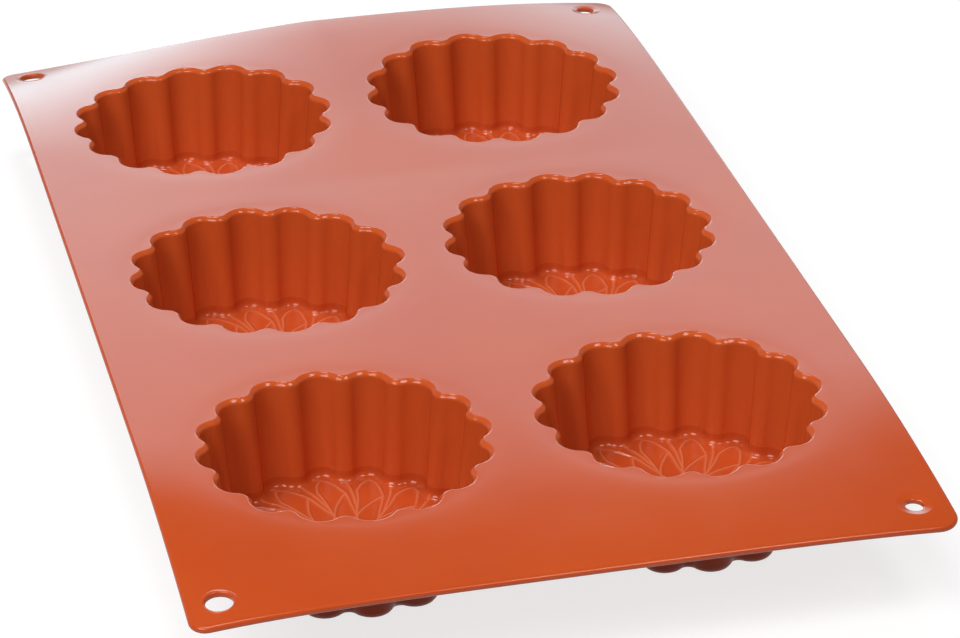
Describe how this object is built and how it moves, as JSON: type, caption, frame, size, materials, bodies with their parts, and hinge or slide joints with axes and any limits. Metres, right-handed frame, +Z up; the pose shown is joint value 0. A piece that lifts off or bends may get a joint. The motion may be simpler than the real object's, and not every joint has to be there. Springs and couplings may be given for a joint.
{
  "type": "fluted cup baking mould",
  "caption": "Thin flexible rectangular baking mould with rows of fluted tapered cups, a petal pattern pressed into each cup floor and a hole in each corner of the sheet.",
  "frame": {"origin": "under the middle of the sheet, at the height of the cup feet, which is the table", "axes": "+X across the sheet to the right, +Y along the sheet away from the viewer, +Z up out of the cups"},
  "size_m": [0.175, 0.3, 0.0285],
  "materials": {
    "sheet": "satin",
    "cup": "gloss"
  },
  "bodies": {
    "root": {"sheet": "sheet", "cup_wall_near_left": "cup", "cup_wall_near_right": "cup", "cup_wall_middle_left": "cup", "cup_wall_middle_right": "cup", "cup_wall_far_left": "cup", "cup_wall_far_right": "cup", "cup_foot_near_left": "cup", "cup_foot_near_right": "cup", "cup_foot_middle_left": "cup", "cup_foot_middle_right": "cup", "cup_foot_far_left": "cup", "cup_foot_far_right": "cup", "hole_rim_near_left": "sheet", "hole_rim_near_right": "sheet", "hole_rim_far_left": "sheet", "hole_rim_far_right": "sheet"}
  },
  "joints": []
}
